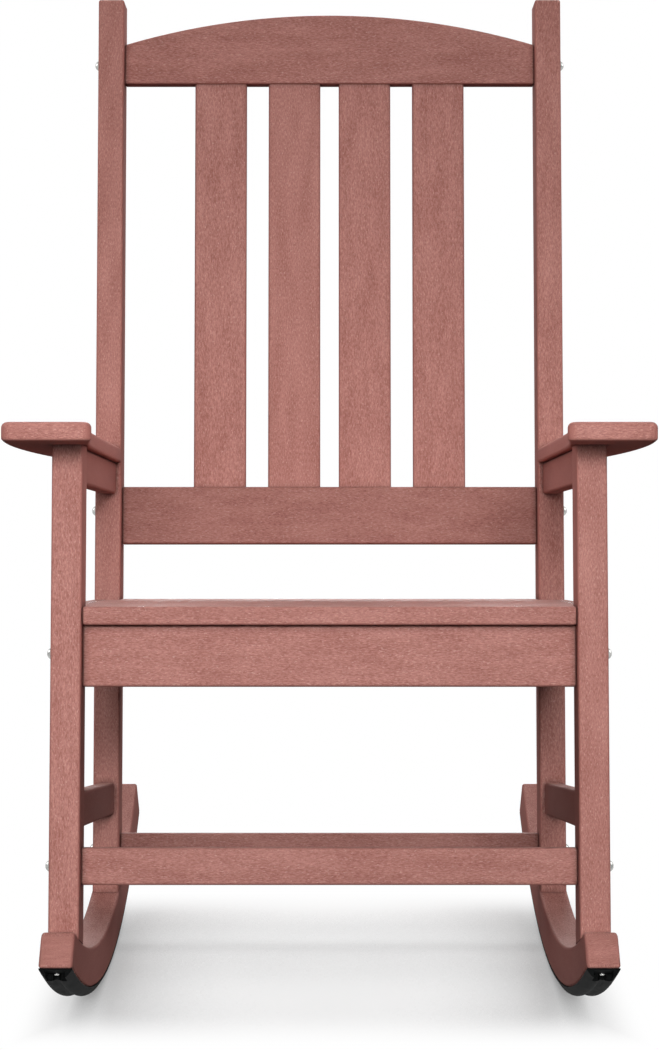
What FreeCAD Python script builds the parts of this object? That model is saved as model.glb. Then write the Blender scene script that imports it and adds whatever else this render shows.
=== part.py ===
import FreeCAD, Part
import math
import os
import re
import Sketcher

# Outdoor rocking chair in solid plastic lumber. Y runs from front to back, Z is up, and the floor
# is Z = 0. X runs to the right as seen from in front of the chair, and a piece is named left or
# right from there too. Heights and leans are set out with the seat about level, over a ground
# line that the rockers touch. The whole chair is then leaned back on its rockers by one angle, to
# where its weight lets it rest. Lengths are millimetres and angles are degrees.

SIZES = [
    ("overall_height", 1168, "ground line to the top of the back posts"),
    ("rest_turn", 6, "the chair leans back on its rockers by this much at rest"),
    ("lean_angle", 4.2, "lean of legs, posts and back from there"),
    ("level_fall", 0.3, "fall of seat and arms towards the rear from there"),
    ("inner_width", 508, "clear width between the two side frames"),
    ("fit_gap", 0.2, "clearance round a tenon, a bolt or a coped end"),
    ("overrun", 30, "how far a cutting tool runs past what it cuts"),

    ("board_thickness", 19, "rails, stretchers, seat slats and arms"),
    ("arris_radius", 3.2, "rounded long edges of every board"),
    ("end_radius", 2.6, "rounded end edges of every board"),

    ("leg_thickness", 31.5, "legs and posts, across the chair"),
    ("leg_depth", 48, "legs and posts, front to back"),
    ("leg_reach", 292, "front face of the legs at the ground line, ahead of the rocker's foot"),
    ("post_setback", 462, "front of a leg to the front of a post, square to both"),

    ("rocker_thickness", 33.5, "rocker, across the chair"),
    ("rocker_radius", 981, "underside of the wood"),
    ("rocker_depth", 44.5, "depth of the section at its foot"),
    ("rocker_top_radius", 910, "upper edge"),
    ("rocker_top_shift", 19, "centre of the upper edge, ahead of the foot"),
    ("nose_angle", 21.5, "foot to the nose, along the underside"),
    ("nose_top_angle", 20.1, "the same along the upper edge, from its own centre"),
    ("tail_angle", 29.9, "foot to the tail, along the underside"),
    ("tail_top_angle", 30.6, "the same along the upper edge, from its own centre"),
    ("nose_round", 14, "upper corner of the nose"),
    ("tail_round", 4, "upper corner of the tail"),

    ("tread_thickness", 9.5, "rubber tread under the rocker"),
    ("tread_width", 33, "tread where it meets the wood"),
    ("tread_lip", 1.5, "upright edge of the tread"),
    ("tread_margin", 3, "tread stops this far short of each rocker end"),
    ("ridge_width", 25, "both ridges, where they leave the flanks"),
    ("ridge_height", 2.2, "crest above the foot of a ridge"),
    ("groove_width", 4, "floor of the groove between the ridges"),
    ("recess_length", 18, "flat recess at each end of the tread"),
    ("recess_width", 20, "the same, across"),
    ("recess_depth", 7.5, "crest to the floor of the recess"),

    ("arm_height", 615.4, "top of the arm above the ground line, at the front of the leg"),
    ("arm_overhang", 84, "arm in front of the leg"),
    ("arm_corner", 12, "plan corners of the arm"),
    ("arm_edge", 6, "rounding of the upper edges of the arm"),
    ("arm_flare", 18, "arm front, inward of the leg's inner face"),
    ("arm_flare_run", 231, "arm front to the start of the straight inner edge"),
    ("arm_front_reach", 41.5, "arm front corner, outward of the leg"),
    ("arm_reach", 49, "widest point of the arm, outward of the leg"),
    ("arm_widest", 150, "arm front to its widest point"),
    ("arm_rear_reach", 12.5, "arm at the post, outward of the leg"),
    ("side_rail_height", 38, "arm rails and side stretchers"),

    ("seat_height", 430, "top of the front seat slat above the ground line"),
    ("nose_inset", 2, "front seat slat behind the front face of the leg"),
    ("seat_slat_width", 64, "front to back"),
    ("seat_gap", 7.9, "between seat slats"),
    ("seat_slats", 7, "number of seat slats"),
    ("slat_end_gap", 0.5, "seat slat to the leg or post beside it"),
    ("seat_rail_height", 63.5, "apron, rear seat rail and seat side rails"),

    ("apron_bolt_rise", 2.4, "the apron's bolts above its middle"),
    ("stretcher_height", 38, "front and rear stretchers"),
    ("front_stretcher_middle", 166.2, "height of its middle up the leg"),
    ("rear_stretcher_middle", 160.5, "height of its middle up the post"),
    ("side_stretcher_middle", 221.7, "height of its middle up the leg"),

    ("lower_rail_height", 70, "lower back rail"),
    ("lower_rail_middle", 566.4, "height of its middle up the post"),
    ("lower_bolt_rise", 6, "its bolts above its middle"),
    ("top_rail_end", 49, "height of the top rail where it meets the posts"),
    ("top_rail_drop", 101.6, "top of the post's front down to the rail's lower edge"),
    ("arch_radius", 880, "its arched upper edge"),

    ("back_slat_width", 64, "across the chair"),
    ("back_slat_thickness", 12, "front to back"),
    ("back_middle_gap", 22.8, "between the two middle slats"),
    ("back_side_gap", 27.1, "between a middle and an outer slat"),
    ("back_slat_tenon", 12, "slat end inside a back rail"),

    ("tenon_length", 12, "side rails inside a leg or post"),
    ("tenon_thickness", 9.5, "stub tenon, across the chair"),
    ("tenon_shoulder", 9.5, "rail above and below its tenon"),

    ("bolt_head_radius", 6.4, "domed head of a frame bolt"),
    ("bolt_head_height", 5.9, "domed head of a frame bolt"),
    ("bolt_shank_radius", 3, "frame bolts and foot screws"),
    ("bolt_length", 85, "frame bolt under its head"),
    ("socket_radius", 2.3, "hexagon socket, over its corners"),
    ("socket_depth", 2, "hexagon socket"),
    ("foot_screw_length", 90, "from inside the rocker into leg or post"),
    ("foot_screw_spacing", 22, "between the two screws of a foot"),
    ("counterbore_radius", 7.5, "for foot screws and arm screws"),
    ("foot_screw_sink", 12, "foot screw's seat above the rocker's underside"),
    ("arm_screw_length", 40, "up through the arm rail"),
    ("arm_screw_sink", 10, "arm screw's seat above the rail's underside"),
    ("arm_screw_inset", 80, "arm screws from leg and post"),
    ("slat_screw_head", 4.2, "radius of a seat slat screw's flat head"),
    ("slat_screw_shank", 2.1, "radius"),
    ("slat_screw_length", 45, "seat slat screw"),
    ("slat_screw_spacing", 34, "between the two screws at a slat's end"),
    ("end_slat_screws", 4, "number of screws in the first slat and in the last"),
    ("end_slat_inset", 60, "the outer ones of these from the slat's ends"),
    ("tread_screw_head", 3.4, "radius of a tread screw's pan head"),
    ("tread_screw_crown", 2.2, "height of a tread screw's pan head"),
    ("tread_screw_shank", 1.7, "radius"),
    ("tread_screw_length", 22, "tread screw under its head"),
    ("tread_screws", 6, "number of screws in a tread"),
    ("tread_screw_inset", 17, "first and last screw from the tread's ends"),
    ("tread_bore_radius", 4.2, "bore over a tread screw's head"),
]

doc = FreeCAD.newDocument("RockingChair")
sheet = doc.addObject("Spreadsheet::Sheet", "Sizes")
for row, (alias, number, note) in enumerate(SIZES, start=1):
    sheet.set("A%d" % row, alias)
    sheet.set("B%d" % row, str(number))
    sheet.set("C%d" % row, note)
    sheet.setAlias("B%d" % row, alias)
doc.recompute()

ALIASES = {alias for alias, number, note in SIZES}
nodes = {}


def bound(text):
    """An expression in plain names, with each name turned into its cell."""
    return re.sub(r"[a-z_]+", lambda word: "Sizes." + word.group() if word.group() in ALIASES
                  else word.group(), text)


def size(text):
    """The value of an expression in plain names."""
    return float(sheet.evalExpression(bound(text)))


def keep(piece, label):
    """List a finished piece under its node name."""
    piece.Label = label
    nodes[label] = piece
    return piece


# Directions of the frames that the pieces are set out in

def tilted(angle):
    """Back and up directions of a frame that leans to the rear by an angle."""
    lean = math.radians(angle)
    back = FreeCAD.Vector(0, math.cos(lean), -math.sin(lean))
    up = FreeCAD.Vector(0, math.sin(lean), math.cos(lean))
    return back, up


RIGHT = FreeCAD.Vector(1, 0, 0)
FLOOR_BACK, FLOOR_UP = tilted(0)
GROUND_BACK, GROUND_UP = tilted(size("rest_turn"))
BACK, UP = tilted(size("rest_turn + lean_angle"))
LEVEL_BACK, LEVEL_UP = tilted(size("rest_turn + level_fall"))


def placed(point, across, along, up):
    """Placement that turns local X, Y and Z to three directions."""
    return FreeCAD.Placement(FreeCAD.Matrix(
        across.x, along.x, up.x, point.x,
        across.y, along.y, up.y, point.y,
        across.z, along.z, up.z, point.z,
        0, 0, 0, 1))


# Sketches and solids

def rounded_rectangle(wide, deep, radius):
    """Corners of a centred rectangle with rounded corners, anticlockwise."""
    right, top = "(%s) / 2" % wide, "(%s) / 2" % deep
    inner_right, inner_top = "%s - %s" % (right, radius), "%s - %s" % (top, radius)
    return [
        ("-(%s)" % inner_right, "-%s" % top, None, 0),
        (inner_right, "-%s" % top, radius, 1),
        (right, "-(%s)" % inner_top, None, 0),
        (right, inner_top, radius, 1),
        (inner_right, top, None, 0),
        ("-(%s)" % inner_right, top, radius, 1),
        ("-%s" % right, inner_top, None, 0),
        ("-%s" % right, "-(%s)" % inner_top, radius, 1),
    ]


def draw(piece, corners):
    """Closed sketch on the piece's XY plane, with every corner and radius bound to the sheet.

    A corner is (x, y, radius, turn): the edge that leaves it is a line where radius is None, and
    otherwise an arc that bulges outwards for turn 1 and inwards for turn -1.
    """
    sketch = piece.newObject("Sketcher::SketchObject", piece.Name + "_outline")
    plane = [part for part in piece.Origin.OriginFeatures if part.Role == "XY_Plane"][0]
    sketch.AttachmentSupport = [(plane, "")]
    sketch.MapMode = "FlatFace"
    spots = [FreeCAD.Vector(size(x), size(y), 0) for x, y, radius, turn in corners]
    starts = []
    for number, (x, y, radius, turn) in enumerate(corners):
        first, last = spots[number], spots[(number + 1) % len(spots)]
        if radius is None:
            sketch.addGeometry(Part.LineSegment(first, last), False)
            starts.append((1, 2))
            continue
        chord = last - first
        left = FreeCAD.Vector(-chord.y, chord.x, 0).normalize()
        rise = math.sqrt(max(size(radius) ** 2 - chord.Length ** 2 / 4, 0))
        centre = (first + last) / 2 + left * rise * turn
        begin, end = (first, last) if turn > 0 else (last, first)
        angles = [math.atan2(spot.y - centre.y, spot.x - centre.x) for spot in (begin, end)]
        circle = Part.Circle(centre, FLOOR_UP, size(radius))
        sketch.addGeometry(Part.ArcOfCircle(circle, angles[0], angles[1]), False)
        starts.append((1, 2) if turn > 0 else (2, 1))
    for number, (x, y, radius, turn) in enumerate(corners):
        following = (number + 1) % len(corners)
        sketch.addConstraint(Sketcher.Constraint(
            "Coincident", number, starts[number][1], following, starts[following][0]))
        for kind, axis, text in (("DistanceX", -2, x), ("DistanceY", -1, y)):
            if text == "0":
                sketch.addConstraint(Sketcher.Constraint(
                    "PointOnObject", number, starts[number][0], axis))
                continue
            index = sketch.addConstraint(Sketcher.Constraint(
                kind, -1, 1, number, starts[number][0], size(text)))
            sketch.setExpression("Constraints[%d]" % index, bound(text))
        if radius is not None:
            index = sketch.addConstraint(Sketcher.Constraint("Radius", number, size(radius)))
            sketch.setExpression("Constraints[%d]" % index, bound(radius))
    return sketch


def extrude(label, corners, length):
    """Body made by padding a closed sketch along local Z."""
    piece = doc.addObject("PartDesign::Body", label)
    piece.Label = label
    pad = piece.newObject("PartDesign::Pad", label + "_pad")
    pad.Profile = draw(piece, corners)
    pad.setExpression("Length", bound(length))
    piece.Tip = pad
    doc.recompute()
    return piece


def round_off(piece, radius, picks):
    """Fillet the faces or edges of a body's tip that picks() chooses."""
    tip = piece.Tip
    names = ["Face%d" % (number + 1) for number, face in enumerate(tip.Shape.Faces) if picks(face)]
    names += ["Edge%d" % (number + 1) for number, edge in enumerate(tip.Shape.Edges) if picks(edge)]
    fillet = piece.newObject("PartDesign::Fillet", piece.Name + "_round")
    fillet.Base = (tip, names)
    fillet.setExpression("Radius", bound(radius))
    piece.Tip = fillet
    doc.recompute()
    return piece


def is_end(shape):
    """True for the two flat faces that a pad leaves square to its direction."""
    return shape.ShapeType == "Face" and abs(shape.normalAt(0, 0).z) > 0.99


def board(label, wide, deep, length, place, rounded=True):
    """Lumber with rounded long edges, wide by deep in section, along local Z."""
    piece = extrude(label, rounded_rectangle(wide, deep, "arris_radius"), length)
    if rounded:
        round_off(piece, "end_radius", is_end)
    piece.Placement = place
    return piece


def turned(label, corners, axis, angle):
    """Body made by turning a closed sketch about its own X or Y axis."""
    piece = doc.addObject("PartDesign::Body", label)
    piece.Label = label
    turn = piece.newObject("PartDesign::Revolution", label + "_turn")
    sketch = draw(piece, corners)
    turn.Profile = sketch
    turn.ReferenceAxis = (sketch, [axis])
    turn.setExpression("Angle", bound(angle))
    piece.Tip = turn
    doc.recompute()
    return piece


def block(label, wide, deep, high, place):
    """Cutting block with one corner at its placement."""
    tool = doc.addObject("Part::Box", label)
    tool.setExpression("Length", bound(wide))
    tool.setExpression("Width", bound(deep))
    tool.setExpression("Height", bound(high))
    tool.Placement = place
    return tool


def rod(label, radius, length, place):
    """Cutting cylinder along its placement's Z."""
    tool = doc.addObject("Part::Cylinder", label)
    tool.setExpression("Radius", bound(radius))
    tool.setExpression("Height", bound(length))
    tool.Placement = place
    return tool


def cut(label, piece, tools):
    """Take tools out of a piece, one after another."""
    for tool in tools:
        step = doc.addObject("Part::Cut", label + "_cut")
        step.Base = piece
        step.Tool = tool
        piece = step
    return piece


def copies(label, pattern, places):
    """Copies of one shape as separate solids of a group."""
    doc.recompute()
    group = doc.addObject("Part::Feature", label)
    shapes = []
    for place in places:
        shape = pattern.Shape.copy()
        shape.Placement = place
        shapes.append(shape)
    group.Shape = Part.Compound(shapes)
    return group


def mirror(label, piece):
    """The same piece on the other side of the chair."""
    twin = doc.addObject("Part::Mirroring", label)
    twin.Source = piece
    twin.Base = (0, 0, 0)
    twin.Normal = (1, 0, 0)
    return keep(twin, label)


def pair(name, piece):
    """Keep a piece of the right-hand side and its mirrored twin."""
    keep(piece, name + "_right")
    mirror(name + "_left", piece)


# Places in the chair

SIDE_MIDDLE = size("(inner_width + leg_thickness) / 2")
LEG_MIDDLE = size("leg_depth / 2")
POST_MIDDLE = size("post_setback + leg_depth / 2")
OUTER_FACE = size("inner_width / 2 + leg_thickness")

# The rocker is drawn from its foot, the lowest point of its wood when the seat is level. Its two
# arcs have their own centres.
rocker_corners = [
    ("-rocker_radius * sin(nose_angle)", "rocker_radius * (1 - cos(nose_angle))",
     "rocker_radius", 1),
    ("rocker_radius * sin(tail_angle)", "rocker_radius * (1 - cos(tail_angle))", None, 0),
    ("rocker_top_radius * sin(tail_top_angle) - rocker_top_shift",
     "rocker_depth + rocker_top_radius * (1 - cos(tail_top_angle))", "rocker_top_radius", -1),
    ("-rocker_top_radius * sin(nose_top_angle) - rocker_top_shift",
     "rocker_depth + rocker_top_radius * (1 - cos(nose_top_angle))", None, 0),
]
rocker_blank = extrude("rocker_blank", rocker_corners, "rocker_thickness")


def corner_at(x_text, y_text):
    """Test for the upright edge of a pad that stands on one corner of its sketch."""
    corner = FreeCAD.Vector(size(x_text), size(y_text), 0)
    return lambda shape: shape.ShapeType == "Edge" and all(
        math.hypot(vertex.X - corner.x, vertex.Y - corner.y) < size("end_radius")
        for vertex in shape.Vertexes)


round_off(rocker_blank, "nose_round", corner_at(*rocker_corners[3][:2]))
round_off(rocker_blank, "tail_round", corner_at(*rocker_corners[2][:2]))
round_off(rocker_blank, "end_radius", corner_at(*rocker_corners[1][:2]))
round_off(rocker_blank, "end_radius", corner_at(*rocker_corners[0][:2]))
round_off(rocker_blank, "arris_radius", is_end)

# The plan origin is the middle of the length of the leaned rocker.
leaned = rocker_blank.Shape.copy()
leaned.Placement = placed(FreeCAD.Vector(), GROUND_BACK, GROUND_UP, RIGHT)
ends = leaned.optimalBoundingBox(False, False)
ROCKER_RADIUS = size("rocker_radius")
ROCKER_CENTRE = FreeCAD.Vector(
    0, GROUND_UP.y * ROCKER_RADIUS - (ends.YMin + ends.YMax) / 2,
    ROCKER_RADIUS + size("tread_thickness"))
ROCKER_FOOT = ROCKER_CENTRE - GROUND_UP * ROCKER_RADIUS
TOP_CENTRE = (ROCKER_FOOT + GROUND_UP * size("rocker_depth + rocker_top_radius")
              - GROUND_BACK * size("rocker_top_shift"))
LEG_FOOT = (ROCKER_FOOT - GROUND_UP * size("tread_thickness")
            - GROUND_BACK * size("leg_reach"))


def frame_point(x, back, up):
    """Point of the leaning frame: behind the front of the legs, and up along them."""
    return LEG_FOOT + RIGHT * x + BACK * back + UP * up


def on_level(start, x, back, up):
    """Point of a nearly level frame that begins at start."""
    return start + RIGHT * x + LEVEL_BACK * back + LEVEL_UP * up


def leg_front_at(height):
    """Point of the legs' front plane at a height above the ground line."""
    return frame_point(0, 0, height / math.cos(math.radians(size("lean_angle"))))


# The arm's frame starts at the middle of its front edge's top, the seat's at the front slat's.
ARM_START = leg_front_at(size("arm_height")) - LEVEL_BACK * size("arm_overhang")
SEAT_START = leg_front_at(size("seat_height")) + LEVEL_BACK * size("nose_inset")


def height_under(start, back):
    """How far up the leaning frame a board's underside lies, over a point back of the legs."""
    drop = (frame_point(0, back, 0) - start).dot(LEVEL_UP) + size("board_thickness")
    return -drop / UP.dot(LEVEL_UP)


# Fasteners, turned about local Y with the seat of the head at zero and the point upwards

def fastener(label, head, shank, length, gap):
    """Screw or bolt of one kind, or with a gap the hole that it leaves."""
    inner, outer = "(%s + %s)" % (shank, gap), [
        (x if x == "0" else "%s + %s" % (x, gap), y, radius, turn) for x, y, radius, turn in head]
    corners = outer + [
        (inner, "%s - %s" % (length, shank), None, 0),
        ("0", "%s + %s" % (length, gap), None, 0)]
    return turned(label, corners, "V_Axis", "360")


DOME = [("0", "-bolt_head_height",
         "(bolt_head_radius^2 + bolt_head_height^2) / (2 * bolt_head_height)", 1),
        ("bolt_head_radius", "0", None, 0), ("bolt_shank_radius", "0", None, 0)]
FLAT = [("0", "0", None, 0), ("slat_screw_head", "0", None, 0),
        ("slat_screw_shank", "slat_screw_head - slat_screw_shank", None, 0)]
PAN = [("0", "-tread_screw_crown", None, 0),
       ("tread_screw_head - tread_screw_crown / 2", "-tread_screw_crown", None, 0),
       ("tread_screw_head", "-tread_screw_crown / 2", None, 0),
       ("tread_screw_head", "0", None, 0), ("tread_screw_shank", "0", None, 0)]


def socket(label, piece, below):
    """Hexagon socket in a fastener's head, from the head's top at -below."""
    key = doc.addObject("Part::Prism", label + "_key")
    key.Polygon = 6
    key.setExpression("Circumradius", bound("socket_radius"))
    key.setExpression("Height", bound("socket_depth + overrun"))
    key.Placement = placed(
        FLOOR_BACK * size("-overrun - (%s)" % below), FLOOR_UP, RIGHT, FLOOR_BACK)
    return cut(label, piece, [key])


bolt = socket("bolt", fastener("bolt_blank", DOME, "bolt_shank_radius", "bolt_length", "0"),
              "bolt_head_height")
bolt_hole = fastener("bolt_hole", DOME, "bolt_shank_radius", "bolt_length", "fit_gap")
foot_screw = socket("foot_screw", fastener(
    "foot_screw_blank", DOME, "bolt_shank_radius", "foot_screw_length", "0"), "bolt_head_height")
foot_hole = fastener("foot_hole", DOME, "bolt_shank_radius", "foot_screw_length", "fit_gap")
arm_screw = socket("arm_screw", fastener(
    "arm_screw_blank", DOME, "bolt_shank_radius", "arm_screw_length", "0"), "bolt_head_height")
arm_hole = fastener("arm_hole", DOME, "bolt_shank_radius", "arm_screw_length", "fit_gap")
slat_screw = socket("slat_screw", fastener(
    "slat_screw_blank", FLAT, "slat_screw_shank", "slat_screw_length", "0"), "0")
slat_hole = fastener("slat_hole", FLAT, "slat_screw_shank", "slat_screw_length", "fit_gap")
tread_screw = fastener("tread_screw", PAN, "tread_screw_shank", "tread_screw_length", "0")
tread_hole = fastener("tread_hole", PAN, "tread_screw_shank", "tread_screw_length", "fit_gap")


def driven(point, direction):
    """Placement of a fastener at a point, driven in a direction."""
    across = direction.cross(RIGHT)
    if across.Length < size("fit_gap"):
        across = FLOOR_UP
    across.normalize()
    return placed(point, across, direction, across.cross(direction))


def both_sides(back, up):
    """Places of a cross rail's two bolts, driven inwards from the outer faces."""
    return [driven(frame_point(OUTER_FACE, back, up), -RIGHT),
            driven(frame_point(-OUTER_FACE, back, up), RIGHT)]


# Cross rails between the side frames

APRON_FRONT = size("(leg_depth - board_thickness) / 2 + arris_radius")
APRON_TOP = height_under(SEAT_START, APRON_FRONT) - size("fit_gap")
REAR_TOP = height_under(SEAT_START, APRON_FRONT + size("post_setback")) - size("fit_gap")
HALF_SEAT_RAIL = size("seat_rail_height / 2")
CROSS_RAILS = [
    ("front_apron", "seat_rail_height", LEG_MIDDLE, APRON_TOP - HALF_SEAT_RAIL,
     size("apron_bolt_rise")),
    ("rear_seat_rail", "seat_rail_height", POST_MIDDLE, REAR_TOP - HALF_SEAT_RAIL, 0),
    ("front_stretcher", "stretcher_height", LEG_MIDDLE, size("front_stretcher_middle"), 0),
    ("rear_stretcher", "stretcher_height", POST_MIDDLE, size("rear_stretcher_middle"), 0),
    ("lower_back_rail", "lower_rail_height", POST_MIDDLE, size("lower_rail_middle"),
     size("lower_bolt_rise")),
]
INNER_FACE = size("inner_width / 2")
rails = {}
leg_bolt_places, post_bolt_places = [], []
for label, height, back, middle, rise in CROSS_RAILS:
    place = placed(frame_point(-INNER_FACE, back, middle), BACK, UP, RIGHT)
    blank = board(label + "_blank", "board_thickness", height, "inner_width", place)
    bolts = both_sides(back, middle + rise)
    keep(copies(label + "_bolts", bolt, bolts), label + "_bolts")
    rails[label] = cut(label, blank, [copies(label + "_bolt_holes", bolt_hole, bolts)])
    (leg_bolt_places if back == LEG_MIDDLE else post_bolt_places).append(bolts[0])

# The top rail's upper edge is one arc between the posts.
POST_TOP = "(overall_height + post_setback * sin(lean_angle)) / cos(lean_angle)"
TOP_RAIL_BOTTOM = "(%s - top_rail_drop)" % POST_TOP
top_rail_corners = [
    ("-inner_width / 2", "0", None, 0),
    ("inner_width / 2", "0", None, 0),
    ("inner_width / 2", "top_rail_end", "arch_radius", 1),
    ("-inner_width / 2", "top_rail_end", None, 0),
]
top_rail = extrude("top_rail_blank", top_rail_corners, "board_thickness")
round_off(top_rail, "end_radius", lambda shape: shape.ShapeType == "Edge")
top_rail.Placement = placed(
    frame_point(0, POST_MIDDLE + size("board_thickness / 2"), size(TOP_RAIL_BOTTOM)),
    RIGHT, UP, -BACK)
top_bolts = both_sides(POST_MIDDLE, size(TOP_RAIL_BOTTOM + " + top_rail_end / 2"))
keep(copies("top_rail_bolts", bolt, top_bolts), "top_rail_bolts")
rails["top_rail"] = cut("top_rail", top_rail, [copies("top_rail_bolt_holes", bolt_hole, top_bolts)])
post_bolt_places.append(top_bolts[0])

# Back slats, let into the two back rails

SLAT_FOOT = size("lower_rail_middle + lower_rail_height / 2 - back_slat_tenon")
slat_length = (TOP_RAIL_BOTTOM + " + 2 * back_slat_tenon"
               " - lower_rail_middle - lower_rail_height / 2")
middle_slat = size("(back_middle_gap + back_slat_width) / 2")
outer_slat = middle_slat + size("back_side_gap + back_slat_width")
for number, x in enumerate((-outer_slat, -middle_slat, middle_slat, outer_slat), start=1):
    place = placed(frame_point(x, POST_MIDDLE, SLAT_FOOT), RIGHT, BACK, UP)
    keep(board("back_slat_%d" % number, "back_slat_width", "back_slat_thickness", slat_length,
               place, rounded=False), "back_slat_%d" % number)
    mortise = extrude("back_mortise_%d" % number, rounded_rectangle(
        "back_slat_width + 2 * fit_gap", "back_slat_thickness + 2 * fit_gap", "arris_radius"),
        slat_length + " + 2 * fit_gap")
    mortise.Placement = placed(
        frame_point(x, POST_MIDDLE, SLAT_FOOT - size("fit_gap")), RIGHT, BACK, UP)
    for label in ("lower_back_rail", "top_rail"):
        rails[label] = cut(label, rails[label], [mortise])

# Side rails between leg and post: their blanks run long and are cut off by the two faces

LEVEL_RUN = "((post_setback - leg_depth) / cos(lean_angle - level_fall))"
LEANING_RUN = "(post_setback - leg_depth)"
TOOL_WIDTH = "(inner_width + 2 * overrun)"
front_stop = block("front_stop", TOOL_WIDTH, "leg_depth + 2 * overrun", "overall_height", placed(
    frame_point(0, size("-2 * overrun"), 0), RIGHT, BACK, UP))
rear_stop = block("rear_stop", TOOL_WIDTH, "leg_depth + 2 * overrun", "overall_height", placed(
    frame_point(0, size("post_setback"), 0), RIGHT, BACK, UP))
TENON_HEIGHT = "(%s - 2 * tenon_shoulder)"


def side_rail(name, height, run, start, back, up):
    """Rail with stub tenons along one direction, and the shape of its two mortises.

    Start is the middle of its section where it meets the leg's rear face, and run is its length
    from there to the post's front face.
    """
    blank = board(name + "_blank", height, "board_thickness", run + " + 2 * overrun",
                  placed(start - back * size("overrun"), up, RIGHT, back), rounded=False)
    shaped = cut(name, blank, [front_stop, rear_stop])
    tenon = extrude(name + "_tenon", rounded_rectangle(
        TENON_HEIGHT % height, "tenon_thickness", "end_radius"), run + " + 2 * tenon_length")
    tenon.Placement = placed(start - back * size("tenon_length"), up, RIGHT, back)
    rail = doc.addObject("Part::Fuse", name + "_with_tenons")
    rail.Base = shaped
    rail.Tool = tenon
    mortise = extrude(name + "_mortise", rounded_rectangle(
        TENON_HEIGHT % height + " + 2 * fit_gap", "tenon_thickness + 2 * fit_gap", "end_radius"),
        run + " + 2 * tenon_length + 2 * fit_gap")
    mortise.Placement = placed(
        start - back * size("tenon_length + fit_gap"), up, RIGHT, back)
    return rail, mortise


def behind_leg(start, drop):
    """Where a level board, drop below its frame's start, meets the leg's rear face."""
    point = on_level(start, SIDE_MIDDLE, 0, -drop)
    steps = (size("leg_depth") - (point - LEG_FOOT).dot(BACK)) / LEVEL_BACK.dot(BACK)
    return point + LEVEL_BACK * steps


arm_rail_start = behind_leg(ARM_START, size("board_thickness + side_rail_height / 2"))
arm_rail, arm_mortise = side_rail(
    "arm_rail", "side_rail_height", LEVEL_RUN, arm_rail_start, LEVEL_BACK, LEVEL_UP)
seat_side_start = behind_leg(SEAT_START, size("board_thickness + seat_rail_height / 2"))
seat_side_rail, seat_mortise = side_rail(
    "seat_side_rail", "seat_rail_height", LEVEL_RUN, seat_side_start, LEVEL_BACK, LEVEL_UP)
stretcher_start = frame_point(SIDE_MIDDLE, size("leg_depth"), size("side_stretcher_middle"))
side_stretcher, stretcher_mortise = side_rail(
    "side_stretcher", "side_rail_height", LEANING_RUN, stretcher_start, BACK, UP)
pair("side_stretcher", side_stretcher)

# Armrest: its inner edge is flush with the leg's inner face and flares inwards at the front

arm_corners = [
    ("inner_width / 2 - arm_flare", "0", None, 0),
    ("inner_width / 2 + leg_thickness + arm_front_reach", "0",
     "(arm_widest^2 + (arm_reach - arm_front_reach)^2) / (2 * (arm_reach - arm_front_reach))", 1),
    ("inner_width / 2 + leg_thickness + arm_reach", "arm_widest",
     "((post_setback + arm_overhang - arm_widest)^2 + (arm_reach - arm_rear_reach)^2)"
     " / (2 * (arm_reach - arm_rear_reach))", 1),
    ("inner_width / 2 + leg_thickness + arm_rear_reach", "post_setback + arm_overhang", None, 0),
    ("inner_width / 2 + leg_thickness + arm_rear_reach",
     "post_setback + arm_overhang + overrun", None, 0),
    ("inner_width / 2", "post_setback + arm_overhang + overrun", None, 0),
    ("inner_width / 2", "arm_flare_run",
     "(arm_flare_run^2 + arm_flare^2) / (2 * arm_flare)", -1),
]
arm_blank = extrude("armrest_blank", arm_corners, "board_thickness")
round_off(arm_blank, "arm_corner", corner_at(*arm_corners[0][:2]))
round_off(arm_blank, "arm_corner", corner_at(*arm_corners[1][:2]))
round_off(arm_blank, "arm_edge", lambda face: is_end(face) and face.normalAt(0, 0).z > 0)
round_off(arm_blank, "arris_radius", lambda face: is_end(face) and face.normalAt(0, 0).z < 0)
arm_blank.Placement = placed(
    on_level(ARM_START, 0, 0, -size("board_thickness")), RIGHT, LEVEL_BACK, LEVEL_UP)

screw_seat = arm_rail_start - LEVEL_UP * size("side_rail_height / 2 - arm_screw_sink")
arm_screw_places = [
    driven(screw_seat + LEVEL_BACK * size(distance), LEVEL_UP)
    for distance in ("arm_screw_inset", LEVEL_RUN + " - arm_screw_inset")]
arm_bores = [rod("arm_bore", "counterbore_radius", "arm_screw_sink + overrun", placed(
    place.Base - LEVEL_UP * size("arm_screw_sink + overrun"), RIGHT, LEVEL_BACK, LEVEL_UP))
    for place in arm_screw_places]
arm_holes = copies("arm_screw_holes", arm_hole, arm_screw_places)
pair("armrest", cut("armrest", arm_blank, [rear_stop, arm_holes]))
pair("arm_rail", cut("arm_rail", arm_rail, [arm_holes] + arm_bores))
pair("armrest_screws", copies("armrest_screws_right", arm_screw, arm_screw_places))

# Seat slats: the first lies between the legs, the last between the posts, the rest on the rails

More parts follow.
